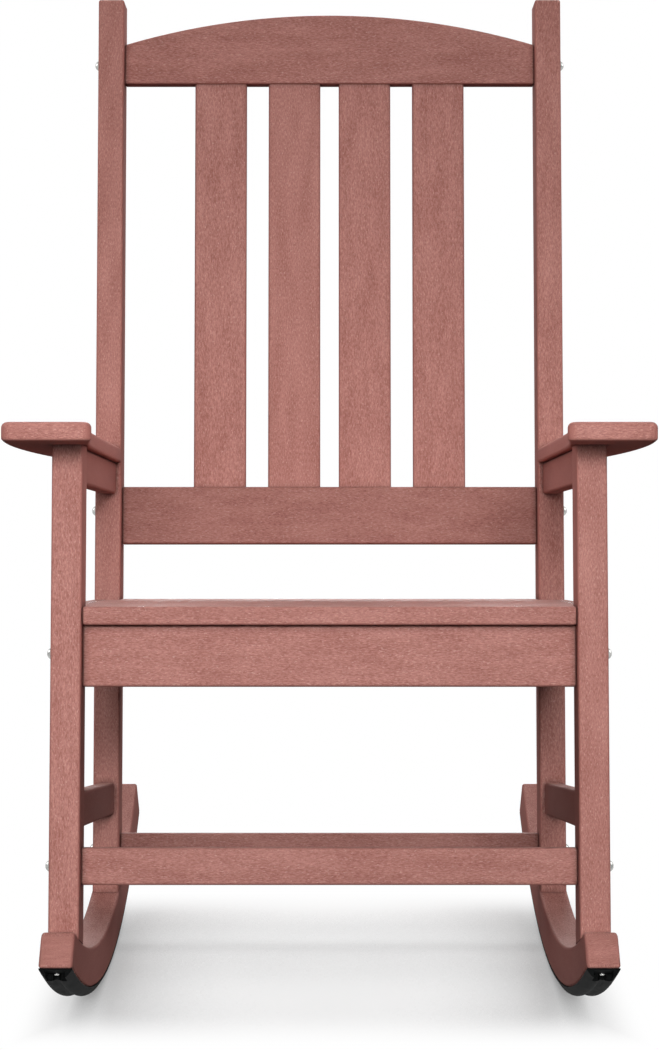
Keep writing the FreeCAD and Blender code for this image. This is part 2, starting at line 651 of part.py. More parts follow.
slat_pitch = size("seat_slat_width + seat_gap")
slat_count = int(size("seat_slats"))
end_screws = int(size("end_slat_screws"))
between = "inner_width - 2 * slat_end_gap"
over_rails = "inner_width + 2 * leg_thickness"
half_screws = size("slat_screw_spacing / 2")
slat_screw_places, side_screw_places = [], []
for number in range(slat_count):
    label = "seat_slat_%d" % (number + 1)
    is_first, is_last = number == 0, number == slat_count - 1
    length = between if is_first or is_last else over_rails
    front = number * slat_pitch
    place = placed(on_level(SEAT_START, -size(length) / 2, front + size("seat_slat_width / 2"),
                            -size("board_thickness / 2")), LEVEL_BACK, LEVEL_UP, RIGHT)
    blank = board(label + "_blank", "seat_slat_width", "board_thickness", length, place)
    if is_first or is_last:
        rail_middle = LEG_MIDDLE if is_first else POST_MIDDLE
        back = rail_middle - (SEAT_START - LEG_FOOT).dot(BACK)
        outer = size(length) / 2 - size("end_slat_inset")
        spacing = 2 * outer / (end_screws - 1)
        spots = [(step * spacing - outer, back) for step in range(end_screws)]
    else:
        middle = front + size("seat_slat_width / 2")
        spots = [(x, middle + shift) for x in (-SIDE_MIDDLE, SIDE_MIDDLE)
                 for shift in (-half_screws, half_screws)]
    places = [driven(on_level(SEAT_START, x, back, 0), -LEVEL_UP) for x, back in spots]
    holes = copies(label + "_holes", slat_hole, places)
    keep(cut(label, blank, [holes]), label)
    slat_screw_places += places
    if is_first:
        rails["front_apron"] = cut("front_apron", rails["front_apron"], [holes])
    elif is_last:
        rails["rear_seat_rail"] = cut("rear_seat_rail", rails["rear_seat_rail"], [holes])
    else:
        side_screw_places += [place for place in places if place.Base.x > 0]
keep(copies("seat_slat_screws", slat_screw, slat_screw_places), "seat_slat_screws")
side_holes = copies("side_rail_holes", slat_hole, side_screw_places)
pair("seat_side_rail", cut("seat_side_rail", seat_side_rail, [side_holes]))
for label, rail in rails.items():
    keep(rail, label)

# Legs and posts: long blanks, cut to the rocker below and to the arm or the level top above

cope = rod("cope", "rocker_top_radius - fit_gap", TOOL_WIDTH, placed(
    TOP_CENTRE, GROUND_BACK, GROUND_UP, RIGHT))
below_rocker_top = cut("below_rocker_top", block(
    "ground_block", TOOL_WIDTH, "post_setback + leg_depth + 2 * overrun", "seat_height", placed(
        frame_point(0, size("-overrun"), 0) - GROUND_UP * size("seat_height / 2"),
        RIGHT, GROUND_BACK, GROUND_UP)), [cope])
arm_zone = block("arm_zone", TOOL_WIDTH, "post_setback", "overall_height", placed(
    on_level(ARM_START, 0, 0, -size("board_thickness")), RIGHT, LEVEL_BACK, LEVEL_UP))
top_zone = block("top_zone", TOOL_WIDTH, "2 * post_setback", "overall_height", placed(
    LEG_FOOT + GROUND_UP * size("overall_height"), RIGHT, GROUND_BACK, GROUND_UP))


def foot_screw_places(back):
    """Places of the two screws that go up from the rocker into a leg or post."""
    places = []
    for shift in (-size("foot_screw_spacing / 2"), size("foot_screw_spacing / 2")):
        base = frame_point(SIDE_MIDDLE, back + shift, 0)
        offset = base - ROCKER_CENTRE
        offset.x = 0
        towards = offset.dot(UP)
        depth = math.sqrt(towards ** 2 - offset.Length ** 2 + size("rocker_radius") ** 2)
        places.append(driven(base + UP * (-towards - depth + size("foot_screw_sink")), UP))
    return places


leg_screws = foot_screw_places(LEG_MIDDLE)
post_screws = foot_screw_places(POST_MIDDLE)
leg_screw_holes = copies("leg_screw_holes", foot_hole, leg_screws)
post_screw_holes = copies("post_screw_holes", foot_hole, post_screws)
foot_bores = [rod("foot_bore", "counterbore_radius", "foot_screw_sink + overrun", placed(
    place.Base - UP * size("foot_screw_sink + overrun"), RIGHT, BACK, UP))
    for place in leg_screws + post_screws]

leg_blank = board("leg_blank", "leg_thickness", "leg_depth", "overall_height", placed(
    frame_point(SIDE_MIDDLE, LEG_MIDDLE, 0), RIGHT, BACK, UP), rounded=False)
leg = cut("front_leg", leg_blank, [
    below_rocker_top, arm_zone, arm_mortise, seat_mortise, stretcher_mortise, leg_screw_holes,
    copies("leg_bolt_holes", bolt_hole, leg_bolt_places)])
pair("front_leg", leg)

post_blank = board(
    "post_blank", "leg_thickness", "leg_depth", "overall_height + 2 * overrun", placed(
        frame_point(SIDE_MIDDLE, POST_MIDDLE, 0), RIGHT, BACK, UP), rounded=False)
post = cut("back_post", post_blank, [
    below_rocker_top, top_zone, arm_mortise, seat_mortise, stretcher_mortise, post_screw_holes,
    copies("post_bolt_holes", bolt_hole, post_bolt_places)])
doc.recompute()
rounded_post = doc.addObject("Part::Fillet", "back_post_rounded")
rounded_post.Base = post
top_face = max(post.Shape.Faces, key=lambda face: face.CenterOfMass.z)
rounded_post.Edges = [
    (number + 1, size("end_radius"), size("end_radius"))
    for number, edge in enumerate(post.Shape.Edges)
    if any(edge.isSame(other) for other in top_face.Edges)]
pair("back_post", rounded_post)
pair("leg_foot_screws", copies("leg_foot_screws_right", foot_screw, leg_screws))
pair("post_foot_screws", copies("post_foot_screws_right", foot_screw, post_screws))

# Rockers and treads. An angle along the rocker is counted from its foot to the rear.


def on_rocker(angle, radius):
    """Point below the rocker's centre, with its rearward and inward directions."""
    turn = math.radians(angle)
    inward = GROUND_UP * math.cos(turn) - GROUND_BACK * math.sin(turn)
    along = GROUND_BACK * math.cos(turn) + GROUND_UP * math.sin(turn)
    return ROCKER_CENTRE + RIGHT * SIDE_MIDDLE - inward * radius, along, inward


MARGIN_ANGLE = "tread_margin / rocker_radius * 180 / pi"
RIDGE_FOOT = "-rocker_radius - tread_thickness + ridge_height"
RIDGE_RADIUS = "(((ridge_width - groove_width) / 4)^2 + ridge_height^2) / (2 * ridge_height)"
tread_corners = [
    ("-tread_width / 2", "-rocker_radius", None, 0),
    ("-tread_width / 2", "-rocker_radius - tread_lip", None, 0),
    ("-ridge_width / 2", RIDGE_FOOT, RIDGE_RADIUS, 1),
    ("-groove_width / 2", RIDGE_FOOT, None, 0),
    ("groove_width / 2", RIDGE_FOOT, RIDGE_RADIUS, 1),
    ("ridge_width / 2", RIDGE_FOOT, None, 0),
    ("tread_width / 2", "-rocker_radius - tread_lip", None, 0),
    ("tread_width / 2", "-rocker_radius", None, 0),
]
tread_blank = turned("tread_blank", tread_corners, "H_Axis",
                     "nose_angle + tail_angle - 2 * (%s)" % MARGIN_ANGLE)
first_angle = -size("nose_angle - (%s)" % MARGIN_ANGLE)
last_angle = size("tail_angle - (%s)" % MARGIN_ANGLE)
point, along, inward = on_rocker(first_angle, 0)
tread_blank.Placement = placed(point, RIGHT, inward, -along)

head_radius = size("rocker_radius + tread_thickness - recess_depth")
inset_angle = math.degrees(size("tread_screw_inset / rocker_radius"))
screw_count = int(size("tread_screws"))
screw_angles = [
    first_angle + inset_angle
    + (last_angle - first_angle - 2 * inset_angle) * number / (screw_count - 1)
    for number in range(screw_count)]
tread_tools, tread_screw_places = [], []
for angle in screw_angles:
    point, along, inward = on_rocker(angle, head_radius)
    tread_screw_places.append(driven(point, inward))
    tread_tools.append(rod("tread_bore", "tread_bore_radius", "recess_depth + overrun", placed(
        point, RIGHT, -along, -inward)))
for angle, forward in ((first_angle, 1), (last_angle, -1)):
    point, along, inward = on_rocker(angle, head_radius)
    half = RIGHT * size("recess_width / 2")
    back = along * size("recess_length") * (0 if forward > 0 else 1)
    tread_tools.append(block("tread_recess", "recess_width", "recess_length", "overrun", placed(
        point - half - back - inward * size("overrun"), RIGHT, along, inward)))
tread_holes = copies("tread_screw_holes", tread_hole, tread_screw_places)
pair("rocker_tread", cut("rocker_tread", tread_blank, [tread_holes] + tread_tools))
pair("tread_screws", copies("tread_screws_right", tread_screw, tread_screw_places))

rocker_blank.Placement = placed(
    ROCKER_FOOT + RIGHT * size("(inner_width + leg_thickness - rocker_thickness) / 2"),
    GROUND_BACK, GROUND_UP, RIGHT)
pair("rocker", cut("rocker", rocker_blank, [leg_screw_holes, post_screw_holes, tread_holes]
                   + foot_bores))

# Every object has to be sound before anything is written

doc.recompute()
for item in doc.Objects:
    if "Invalid" in item.State or "Error" in item.State:
        raise RuntimeError("%s failed: %s" % (item.Label, item.State))
for label, piece in nodes.items():
    if piece.Shape.isNull() or not piece.Shape.isValid() or not piece.Shape.Solids:
        raise RuntimeError("%s has no sound solid" % label)

os.makedirs("parts", exist_ok=True)
for label, piece in nodes.items():
    piece.Shape.exportStep(os.path.join("parts", label + ".step"))
    print("%-24s %2d solids, %.0f mm3" % (label, len(piece.Shape.Solids), piece.Shape.Volume))
print("%d nodes" % len(nodes))
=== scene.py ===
"""Looks of an outdoor rocking chair in solid plastic lumber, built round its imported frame.

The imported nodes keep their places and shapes. This script gives each one its finish, rounds the
shading of its edges, and sets the chair on a pale studio floor before the photograph's camera.
"""

import logging
import math
from dataclasses import dataclass
from enum import Enum

import bpy
from mathutils import Euler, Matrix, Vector

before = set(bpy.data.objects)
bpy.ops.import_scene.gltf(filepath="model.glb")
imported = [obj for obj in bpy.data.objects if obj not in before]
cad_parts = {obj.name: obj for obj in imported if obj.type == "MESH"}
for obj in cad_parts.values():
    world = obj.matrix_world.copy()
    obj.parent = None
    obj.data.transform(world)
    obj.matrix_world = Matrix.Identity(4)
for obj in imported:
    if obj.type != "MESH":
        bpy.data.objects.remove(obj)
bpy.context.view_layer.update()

LOG = logging.getLogger("rocking_chair")
MM = 0.001
SIDES = ("left", "right")

# Angles of the part's source, in degrees. In the level pose the legs and the back lean back by
# LEVEL_LEAN, and seat and arms fall towards the rear by LEVEL_FALL. At rest the whole chair is
# turned back from there by REST_TURN.
REST_TURN = 6.0
LEVEL_LEAN = 4.2
LEVEL_FALL = 0.3


def linear(hex_colour: str) -> tuple[float, float, float, float]:
    """Turns an sRGB hex colour into linear RGBA, by the formula of the sRGB standard.

    Args:
        hex_colour: Six hex digits, with or without a leading #.

    Returns:
        The colour in linear light, with alpha 1.
    """
    digits = hex_colour.lstrip("#")
    channels = [int(digits[start:start + 2], 16) / 255 for start in (0, 2, 4)]
    light = [c / 12.92 if c <= 0.04045 else ((c + 0.055) / 1.055) ** 2.4 for c in channels]
    return (light[0], light[1], light[2], 1.0)


def add_node(tree: bpy.types.NodeTree, kind: str,
             inputs: dict[str | int, object] | None = None,
             **settings: object) -> bpy.types.Node:
    """Adds a node with its settings, values and links.

    Args:
        tree: Node tree to add it to.
        kind: Type of node.
        inputs: Socket name or number, each with a plain value or an output socket to link.
        **settings: Properties to set on the node before its sockets.

    Returns:
        The new node.
    """
    node = tree.nodes.new(kind)
    for name, value in settings.items():
        setattr(node, name, value)
    for key, value in (inputs or {}).items():
        if isinstance(value, bpy.types.NodeSocket):
            tree.links.new(value, node.inputs[key])
        else:
            node.inputs[key].default_value = value
    return node


def new_material(name: str) -> tuple[bpy.types.Material, bpy.types.NodeTree]:
    """Makes an empty node material.

    Args:
        name: Name of the material.

    Returns:
        The material and its cleared node tree.
    """
    material = bpy.data.materials.new(name)
    material.use_nodes = True
    material.node_tree.nodes.clear()
    return material, material.node_tree


class Grain(Enum):
    """Way in which a board's length runs: the turn, in degrees, that lays it along X."""

    ACROSS = (0.0, 0.0, 0.0)
    UPRIGHT = (REST_TURN + LEVEL_LEAN, 90.0, 0.0)
    ARM = (REST_TURN + LEVEL_FALL, 0.0, -90.0)
    STRETCHER = (REST_TURN + LEVEL_LEAN, 0.0, -90.0)
    ROCKER = (REST_TURN, 0.0, -90.0)

    @property
    def sawn(self) -> "Grain":
        """Way in which the brush marks run on a sawn end of such a board."""
        return Grain.ACROSS if self in (Grain.ARM, Grain.UPRIGHT) else Grain.UPRIGHT

    def turn(self) -> Euler:
        """Gives the turn in radians."""
        return Euler([math.radians(angle) for angle in self.value])


@dataclass(frozen=True)
class Pattern:
    """A soft random pattern of spots, drawn out along X.

    The length and width of a spot are real millimetres. Detail is how many times finer spots lie
    within the spots, and roughness how strongly those show.
    """

    long_mm: float
    wide_mm: float
    detail: float = 2.0
    roughness: float = 0.5

    def scale(self) -> tuple[float, float, float]:
        """Gives the factors for coordinates in metres that make a spot one unit each way."""
        return (1 / (self.long_mm * MM), 1 / (self.wide_mm * MM), 1 / (self.wide_mm * MM))


def lay_patterns(tree: bpy.types.NodeTree, place: bpy.types.NodeSocket,
                 patterns: dict[str, Pattern]) -> dict[str, bpy.types.NodeSocket]:
    """Adds nodes that lay random patterns over a piece.

    Args:
        tree: Node tree of the piece's material.
        place: Object coordinates, turned so that X runs along the spots.
        patterns: Each pattern by its name.

    Returns:
        The height of each pattern, from 0 to 1, by the same name.
    """
    heights = {}
    for name, pattern in patterns.items():
        scaled = add_node(tree, "ShaderNodeVectorMath", {0: place, 1: pattern.scale()},
                          operation="MULTIPLY")
        heights[name] = add_node(tree, "ShaderNodeTexNoise", {
            "Vector": scaled.outputs["Vector"], "Scale": 1.0, "Detail": pattern.detail,
            "Roughness": pattern.roughness}).outputs["Fac"]
    return heights


@dataclass(frozen=True)
class PlasticLumber:
    """Foamed polyethylene lumber, extruded: one dusty red, drawn out into short streaks.

    The extruder draws pale flecks and darker threads out along the board. They show on its
    brushed front, back and top, which are dull satin, and lie across a sawn end. The planed sides
    that face left and right, the underside and the rounded arrises are plainer, redder and quite
    matt. Each board is painted a little paler or darker than the others, as painted light and
    shade of how brightly it is lit in its place. Painted shade darkens a board where others hide
    it from the light, so that each joint and the space under an overhang reads as a dark line
    with a soft edge.

    A range is the pair of values between which something comes in, and a share is how much of it
    there is at most. Satin is the roughness of the palest streaks and of the darkest, and matt is
    that of the planed sides. The real streaks and flecks are as large as they are drawn.
    """

    planed: str = "#a66860"
    dark: str = "#945b52"
    pale: str = "#c3897f"
    fleck: str = "#d3a79d"
    clouds: Pattern = Pattern(70.0, 16.0)
    streaks: Pattern = Pattern(4.2, 1.2, 3.0, 0.7)
    flecks: Pattern = Pattern(3.4, 1.0, 1.0)
    board_step_m: tuple[float, float, float] = (0.37, 0.19, 0.23)
    cloud_share: float = 0.25
    streak_range: tuple[float, float] = (0.34, 0.66)
    fleck_range: tuple[float, float] = (0.62, 0.74)
    fleck_share: float = 0.6
    sawn_range: tuple[float, float] = (0.55, 0.8)
    planed_range: tuple[float, float] = (0.3, 0.9)
    planed_share: float = 0.25
    satin: tuple[float, float] = (0.55, 0.68)
    matt: float = 1.0
    specular: float = 0.2
    ior: float = 1.5
    streak_depth_mm: float = 0.1
    # Painted shade: the colour darkens where other parts close by hide the board from the light.
    painted_shade_mm: float = 9.0
    painted_shade_rays: int = 4
    painted_shade_range: tuple[float, float] = (0.45, 0.9)
    painted_shade_tone: float = 0.38

    def laid(self, tree: bpy.types.NodeTree, place: bpy.types.Node, grain: Grain,
             board: int) -> bpy.types.NodeSocket:
        """Adds nodes that turn a board's coordinates so that X runs along its streaks.

        Args:
            tree: Node tree of the board's material.
            place: Node that gives Object coordinates and normals.
            grain: Way in which the board's length runs.
            board: Number of the board, which moves the pattern on so that no two are alike.

        Returns:
            The turned coordinates, for a sawn end those of its own brush marks.
        """
        along, over = (add_node(tree, "ShaderNodeMapping", {
            "Vector": place.outputs["Object"],
            "Location": tuple(board * step for step in self.board_step_m),
            "Rotation": way.turn()}) for way in (grain, grain.sawn))
        lengthwise = add_node(tree, "ShaderNodeVectorMath", {
            0: place.outputs["Normal"], 1: grain.turn().to_matrix().row[0]},
            operation="DOT_PRODUCT")
        endwise = add_node(tree, "ShaderNodeMath", {0: lengthwise.outputs["Value"]},
                           operation="ABSOLUTE")
        sawn = add_node(tree, "ShaderNodeMapRange", {
            "Value": endwise.outputs["Value"], "From Min": self.sawn_range[0],
            "From Max": self.sawn_range[1]})
        return add_node(tree, "ShaderNodeMix", {
            "Factor": sawn.outputs["Result"], "A": along.outputs["Vector"],
            "B": over.outputs["Vector"]}, data_type="VECTOR").outputs["Result"]

    def planed_sides(self, tree: bpy.types.NodeTree,
                     place: bpy.types.Node) -> bpy.types.NodeSocket:
        """Adds nodes that tell a board's planed sides from its brushed faces.

        Args:
            tree: Node tree of the board's material.
            place: Node that gives Object coordinates and normals.

        Returns:
            1 on faces that look left, right or down, and 0 on the others.
        """
        facing = add_node(tree, "ShaderNodeSeparateXYZ", {"Vector": place.outputs["Normal"]})
        sideways = add_node(tree, "ShaderNodeMath", {0: facing.outputs["X"]},
                            operation="ABSOLUTE")
        downwards = add_node(tree, "ShaderNodeMath", {0: facing.outputs["Z"], 1: -1.0},
                             operation="MULTIPLY")
        away = add_node(tree, "ShaderNodeMath", {
            0: sideways.outputs["Value"], 1: downwards.outputs["Value"]},
            operation="MAXIMUM")
        return add_node(tree, "ShaderNodeMapRange", {
            "Value": away.outputs["Value"], "From Min": self.planed_range[0],
            "From Max": self.planed_range[1]}).outputs["Result"]

    def painted_light_and_shade(self, tree: bpy.types.NodeTree, colour: bpy.types.NodeSocket,
              painted_tone: float) -> bpy.types.NodeSocket:
        """Adds nodes that give a board its painted light and shade, and darken it with painted
        shade where others hide it from the light.

        Args:
            tree: Node tree of the board's material.
            colour: Colour of the lumber.
            painted_tone: Lightness of the board beside the others, as painted light and shade.

        Returns:
            The colour of the board.
        """
        # Painted shade: occlusion by nearby parts darkens the colour, as shade falls in joints
        # and under overhangs.
        occlusion = add_node(tree, "ShaderNodeAmbientOcclusion", {
            "Distance": self.painted_shade_mm * MM}, samples=self.painted_shade_rays)
        painted_shade = add_node(tree, "ShaderNodeMapRange", {
            "Value": occlusion.outputs["AO"], "From Min": self.painted_shade_range[0],
            "From Max": self.painted_shade_range[1], "To Min": painted_tone * self.painted_shade_tone, "To Max": painted_tone})
        return add_node(tree, "ShaderNodeVectorMath", {
            0: colour, "Scale": painted_shade.outputs["Result"]}, operation="SCALE").outputs["Vector"]

    def material(self, name: str, grain: Grain, board: int,
                 painted_tone: float) -> bpy.types.Material:
        """Makes the finish of one board.

        Args:
            name: Name of the board.
            grain: Way in which its length runs.
            board: Number of the board.
            painted_tone: Lightness of the board beside the others, as painted light and shade.

        Returns:
            The material.
        """
        material, tree = new_material("plastic_lumber_" + name)
        place = add_node(tree, "ShaderNodeTexCoord")
        heights = lay_patterns(tree, self.laid(tree, place, grain, board), {
            "clouds": self.clouds, "streaks": self.streaks, "flecks": self.flecks})
        mixed = add_node(tree, "ShaderNodeMix", {
            "Factor": self.cloud_share, "A": heights["streaks"], "B": heights["clouds"]},
            data_type="FLOAT")
        streak = add_node(tree, "ShaderNodeMapRange", {
            "Value": mixed.outputs["Result"], "From Min": self.streak_range[0],
            "From Max": self.streak_range[1]})
        fleck = add_node(tree, "ShaderNodeMapRange", {
            "Value": heights["flecks"], "From Min": self.fleck_range[0],
            "From Max": self.fleck_range[1], "To Max": self.fleck_share})
        planed = self.planed_sides(tree, place)
        brushed = add_node(tree, "ShaderNodeMapRange", {
            "Value": planed, "To Min": 1.0, "To Max": self.planed_share})
        drawn = add_node(tree, "ShaderNodeMix", {
            "Factor": streak.outputs["Result"], "A": linear(self.dark),
            "B": linear(self.pale)}, data_type="RGBA")
        flecked = add_node(tree, "ShaderNodeMix", {
            "Factor": fleck.outputs["Result"], "A": drawn.outputs["Result"],
            "B": linear(self.fleck)}, data_type="RGBA")
        colour = add_node(tree, "ShaderNodeMix", {
            "Factor": brushed.outputs["Result"], "A": linear(self.planed),
            "B": flecked.outputs["Result"]}, data_type="RGBA")
        satin = add_node(tree, "ShaderNodeMapRange", {
            "Value": streak.outputs["Result"], "To Min": self.satin[1],
            "To Max": self.satin[0]})
        gloss = add_node(tree, "ShaderNodeMix", {
            "Factor": planed, "A": satin.outputs["Result"], "B": self.matt},
            data_type="FLOAT")
        skin = add_node(tree, "ShaderNodeBump", {
            "Height": streak.outputs["Result"], "Strength": brushed.outputs["Result"],
            "Distance": self.streak_depth_mm * MM})
        shader = add_node(tree, "ShaderNodeBsdfPrincipled", {
            "Base Color": self.painted_light_and_shade(tree, colour.outputs["Result"], painted_tone),
            "Roughness": gloss.outputs["Result"], "Normal": skin.outputs["Normal"],
            "Specular IOR Level": self.specular, "IOR": self.ior})
        add_node(tree, "ShaderNodeOutputMaterial", {"Surface": shader.outputs["BSDF"]})
        return material


@dataclass(frozen=True)
class MouldedRubber:
    """Black tread rubber, moulded: satin, with a fine mould grain and a dusty bloom.

    The real grain is about 0.3 mm across, too fine to show, and is drawn coarser.
    """

    base: str = "#090a0a"
    bloom: str = "#17191a"
    spots: Pattern = Pattern(40.0, 6.0, 4.0)
    grain: Pattern = Pattern(1.4, 1.4)
    bloom_range: tuple[float, float] = (0.45, 0.75)
    bloom_share: float = 0.6
    roughness: tuple[float, float] = (0.6, 0.8)
    specular: float = 0.04
    ior: float = 1.52
    grain_depth_mm: float = 0.1
    grain_strength: float = 0.3

    def material(self) -> bpy.types.Material:
        """Makes the finish of both treads.

        Returns:
            The material.
        """
        material, tree = new_material("tread_rubber")
        place = add_node(tree, "ShaderNodeTexCoord")
        turned = add_node(tree, "ShaderNodeMapping", {
            "Vector": place.outputs["Object"], "Rotation": Grain.ROCKER.turn()})
        heights = lay_patterns(tree, turned.outputs["Vector"], {
            "spots": self.spots, "grain": self.grain})
        veil = add_node(tree, "ShaderNodeMapRange", {
            "Value": heights["spots"], "From Min": self.bloom_range[0],
            "From Max": self.bloom_range[1], "To Max": self.bloom_share})
        colour = add_node(tree, "ShaderNodeMix", {
            "Factor": veil.outputs["Result"], "A": linear(self.base), "B": linear(self.bloom)},
            data_type="RGBA")
        gloss = add_node(tree, "ShaderNodeMapRange", {
            "Value": heights["spots"], "To Min": self.roughness[0],
            "To Max": self.roughness[1]})
        skin = add_node(tree, "ShaderNodeBump", {
            "Height": heights["grain"], "Strength": self.grain_strength,
            "Distance": self.grain_depth_mm * MM})
        shader = add_node(tree, "ShaderNodeBsdfPrincipled", {
            "Base Color": colour.outputs["Result"], "Roughness": gloss.outputs["Result"],
            "Normal": skin.outputs["Normal"], "Specular IOR Level": self.specular,
            "IOR": self.ior})
        add_node(tree, "ShaderNodeOutputMaterial", {"Surface": shader.outputs["BSDF"]})
        return material


@dataclass(frozen=True)
class StainlessSteel:
    """Stainless steel, cold-headed and tumbled: bright, with fine marks and dull patches.

    Real tumbling marks are about 0.2 mm across, too fine to show, and are drawn coarser.
    """

    base: str = "#b9b9b6"
    dull: str = "#858686"
    marks: Pattern = Pattern(1.0, 1.0)
    patches: Pattern = Pattern(4.0, 4.0, 3.0)
    dull_range: tuple[float, float] = (0.45, 0.75)
    roughness: tuple[float, float] = (0.14, 0.3)
    mark_depth_mm: float = 0.05
    mark_strength: float = 0.15

    def material(self) -> bpy.types.Material:
        """Makes the finish of all bolts and screws.

        Returns:
            The material.
        """
        material, tree = new_material("stainless_steel")
        place = add_node(tree, "ShaderNodeTexCoord")
        heights = lay_patterns(tree, place.outputs["Object"], {
            "marks": self.marks, "patches": self.patches})
        worn = add_node(tree, "ShaderNodeMapRange", {
            "Value": heights["patches"], "From Min": self.dull_range[0],
            "From Max": self.dull_range[1]})
        colour = add_node(tree, "ShaderNodeMix", {
            "Factor": worn.outputs["Result"], "A": linear(self.base), "B": linear(self.dull)},
            data_type="RGBA")
        gloss = add_node(tree, "ShaderNodeMapRange", {
            "Value": heights["patches"], "To Min": self.roughness[0],
            "To Max": self.roughness[1]})
        skin = add_node(tree, "ShaderNodeBump", {
            "Height": heights["marks"], "Strength": self.mark_strength,
            "Distance": self.mark_depth_mm * MM})
        shader = add_node(tree, "ShaderNodeBsdfPrincipled", {
            "Base Color": colour.outputs["Result"], "Metallic": 1.0,
            "Roughness": gloss.outputs["Result"], "Normal": skin.outputs["Normal"]})
        add_node(tree, "ShaderNodeOutputMaterial", {"Surface": shader.outputs["BSDF"]})
        return material


class Workshop:
    """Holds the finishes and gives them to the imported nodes."""

    def __init__(self, nodes: dict[str, bpy.types.Object]) -> None:
        """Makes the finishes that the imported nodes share.

        Args:
            nodes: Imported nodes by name.
        """
        self.nodes = nodes
        self.lumber = PlasticLumber()
        self.rubber = MouldedRubber().material()
        self.steel = StainlessSteel().material()
        self.smooth = self.rounding()
        self.dressed: list[str] = []

    @staticmethod
    def rounding(weld_mm: float = 0.002, crease: float = 32.0) -> bpy.types.NodeTree:
        """Makes the modifier that joins a node's triangles and shades its round edges smooth.

        Args:
            weld_mm: Corners nearer than this are one.
            crease: Faces that meet at more than this angle, in degrees, keep a sharp edge.

        Returns:
            The modifier's node group.
        """
        tree = bpy.data.node_groups.new("rounded_shading", "GeometryNodeTree")
        tree.interface.new_socket("Geometry", in_out="INPUT", socket_type="NodeSocketGeometry")
        tree.interface.new_socket("Geometry", in_out="OUTPUT", socket_type="NodeSocketGeometry")
        given = add_node(tree, "NodeGroupInput")
        joined = add_node(tree, "GeometryNodeMergeByDistance", {
            "Geometry": given.outputs["Geometry"], "Distance": weld_mm * MM})
        soft = add_node(tree, "GeometryNodeSetShadeSmooth", {
            "Geometry": joined.outputs["Geometry"], "Shade Smooth": True}, domain="FACE")
        angle = add_node(tree, "GeometryNodeInputMeshEdgeAngle")
        gentle = add_node(tree, "FunctionNodeCompare", {
            "A": angle.outputs["Unsigned Angle"], "B": math.radians(crease)},
            data_type="FLOAT", operation="LESS_THAN")
        creased = add_node(tree, "GeometryNodeSetShadeSmooth", {
            "Geometry": soft.outputs["Geometry"], "Shade Smooth": gentle.outputs["Result"]},
            domain="EDGE")
        add_node(tree, "NodeGroupOutput", {"Geometry": creased.outputs["Geometry"]})
        return tree

    def dress(self, name: str, material: bpy.types.Material) -> None:
        """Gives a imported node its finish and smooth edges.

        Args:
            name: Name of the node.
            material: Finish for all of its slots.
        """
        node = self.nodes[name]
        for slot in node.material_slots:
            slot.material = material
        shading = node.modifiers.new("rounded_shading", "NODES")
        shading.node_group = self.smooth
        self.dressed.append(name)
        LOG.info("%s: %s", name, material.name)

    def board(self, name: str, grain: Grain, painted_tone: float = 1.0) -> None:
        """Dresses a board of plastic lumber, with a pattern of its own and a lightness of painted
        light and shade.
        """
        self.dress(name, self.lumber.material(name, grain, len(self.dressed) + 1, painted_tone))


@dataclass
class SideFrames:
    """Legs, posts and what joins them front to back, on both sides."""

    shop: Workshop
    # Lightness of the arms and uprights beside the other boards: painted light and shade of how
    # brightly each is lit.
    arm_painted_light: float = 1.13
    upright_painted_light: float = 1.07

    def build(self) -> None:
        """Dresses the boards and the screws of both side frames."""
        for side in SIDES:
            self.shop.board("front_leg_" + side, Grain.UPRIGHT, self.upright_painted_light)
            self.shop.board("back_post_" + side, Grain.UPRIGHT, self.upright_painted_light)
            self.shop.board("arm_rail_" + side, Grain.ARM)
            self.shop.board("seat_side_rail_" + side, Grain.ARM)
            self.shop.board("side_stretcher_" + side, Grain.STRETCHER)
            self.shop.board("armrest_" + side, Grain.ARM, self.arm_painted_light)
            self.shop.dress("armrest_screws_" + side, self.shop.steel)


@dataclass
class Rockers:
    """Curved rockers, their treads and the screws that hold them."""

    shop: Workshop
    screws: tuple[str, ...] = ("tread_screws_", "leg_foot_screws_", "post_foot_screws_")

    def build(self) -> None:
        """Dresses the rockers, treads and screws."""
        for side in SIDES:
            self.shop.board("rocker_" + side, Grain.ROCKER)
            self.shop.dress("rocker_tread_" + side, self.shop.rubber)
            for screws in self.screws:
                self.shop.dress(screws + side, self.shop.steel)


@dataclass
class CrossRails:
    """Rails and stretchers between the side frames, with their bolts."""

    shop: Workshop
    # Lightness of each rail beside the other boards: painted light and shade, low for the rails
    # that lie in shade.
    painted_light_tones: tuple[tuple[str, float], ...] = (
        ("front_apron", 1.0), ("rear_seat_rail", 1.0), ("front_stretcher", 0.95),
        ("rear_stretcher", 0.8), ("lower_back_rail", 0.83), ("top_rail", 1.0))

    def build(self) -> None:
        """Dresses each rail and its bolts."""
        for rail, painted_tone in self.painted_light_tones:
            self.shop.board(rail, Grain.ACROSS, painted_tone)
            self.shop.dress(rail + "_bolts", self.shop.steel)


@dataclass
class Slats:
    """Slats of the back and of the seat."""

    shop: Workshop
    back_slats: int = 4
    seat_slats: int = 7
    # Lightness of the back slats beside the other boards: painted light and shade.
    back_slat_painted_light: float = 1.05

    def build(self) -> None:
        """Dresses the slats and the seat's screws."""
        for number in range(1, self.back_slats + 1):
            self.shop.board("back_slat_%d" % number, Grain.UPRIGHT, self.back_slat_painted_light)
        for number in range(1, self.seat_slats + 1):
            self.shop.board("seat_slat_%d" % number, Grain.ACROSS)
        self.shop.dress("seat_slat_screws", self.shop.steel)


